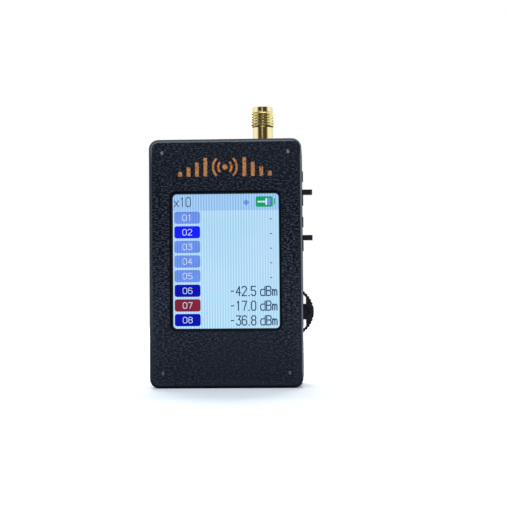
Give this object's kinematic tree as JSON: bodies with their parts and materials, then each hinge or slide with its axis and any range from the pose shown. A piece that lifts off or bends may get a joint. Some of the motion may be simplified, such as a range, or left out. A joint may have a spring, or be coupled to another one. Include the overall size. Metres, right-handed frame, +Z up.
{
  "type": "field strength meter",
  "caption": "Pocket field strength meter: grained dark case, colour display in a front window, gold threaded antenna socket on top, slide switches and a jog lever on the right side.",
  "frame": {"origin": "centre of the case's bottom face", "axes": "+X to the right seen from the front, +Y from the front face to the back, +Z up along the antenna socket"},
  "size_m": [0.0428, 0.022, 0.0742],
  "materials": {
    "case_plastic": "fine leather-like grain, dark blue-grey",
    "screw_steel": "zinc plated",
    "foam": "closed-cell foam",
    "foam_white": "white adhesive foam",
    "display_glass": "lit colour display",
    "backlight_plastic": "white moulding",
    "ribbon_film": "amber film",
    "board_laminate": "green solder mask",
    "chip_plastic": "black moulding",
    "tinned_sheet": "tin plated",
    "passive_ceramic": "fired ceramic",
    "cell_foil": "laminated foil",
    "lead_red": "silicone sleeve",
    "lead_black": "silicone sleeve",
    "white_plastic": "off-white moulding",
    "gold_plate": "polished gold plate",
    "switch_plastic": "smooth black moulding"
  },
  "bodies": {
    "case": {"front_case": "case_plastic", "back_cover": "case_plastic", "case_screws": "screw_steel", "display_gasket": "foam", "lcd_panel": "display_glass", "lcd_driver": "chip_plastic", "lcd_backlight": "backlight_plastic", "lcd_ribbon": "ribbon_film", "display_pad": "foam", "main_board": "board_laminate", "microcontroller": "chip_plastic", "rf_shield": "tinned_sheet", "rf_detector": "chip_plastic", "clock_crystal": "tinned_sheet", "charger_chip": "chip_plastic", "power_coil": "chip_plastic", "passive_parts": "passive_ceramic", "battery_cell": "cell_foil", "battery_adhesive": "foam_white", "battery_guard": "ribbon_film", "battery_lead_red": "lead_red", "battery_lead_black": "lead_black", "battery_plug": "white_plastic", "battery_socket": "white_plastic", "antenna_socket": "gold_plate", "socket_insulator": "white_plastic", "socket_contact": "gold_plate", "power_switch_body": "switch_plastic", "range_switch_body": "switch_plastic", "switch_terminals": "tinned_sheet", "jog_base": "switch_plastic", "jog_dome": "tinned_sheet", "usb_shell": "tinned_sheet", "usb_tongue": "chip_plastic"},
    "power_slider": {"power_switch_slider": "switch_plastic"},
    "range_slider": {"range_switch_slider": "switch_plastic"},
    "jog_carrier": {"jog_carrier": "white_plastic", "jog_pivot_pin": "screw_steel", "jog_clip": "screw_steel", "jog_spring": "screw_steel"},
    "jog_lever": {"jog_lever": "switch_plastic"}
  },
  "joints": [
    {"name": "power_switch_slide", "type": "slide", "parent": "case", "child": "power_slider", "axis": [0, 0, 1], "range_m": [0, 0.002]},
    {"name": "range_switch_slide", "type": "slide", "parent": "case", "child": "range_slider", "axis": [0, 0, 1], "range_m": [0, 0.002]},
    {"name": "jog_push", "type": "slide", "parent": "case", "child": "jog_carrier", "axis": [-1, 0, 0], "range_m": [0, 0.0005], "stiffness_N_per_m": 2000, "deforming": ["jog_dome"]},
    {"name": "jog_rock", "type": "hinge", "parent": "jog_carrier", "child": "jog_lever", "pos_m": [0.0159, 0, 0.01965], "axis": [0, 1, 0], "range_deg": [-12, 12], "stiffness_Nm_per_rad": 0.05, "deforming": ["jog_spring"]}
  ]
}
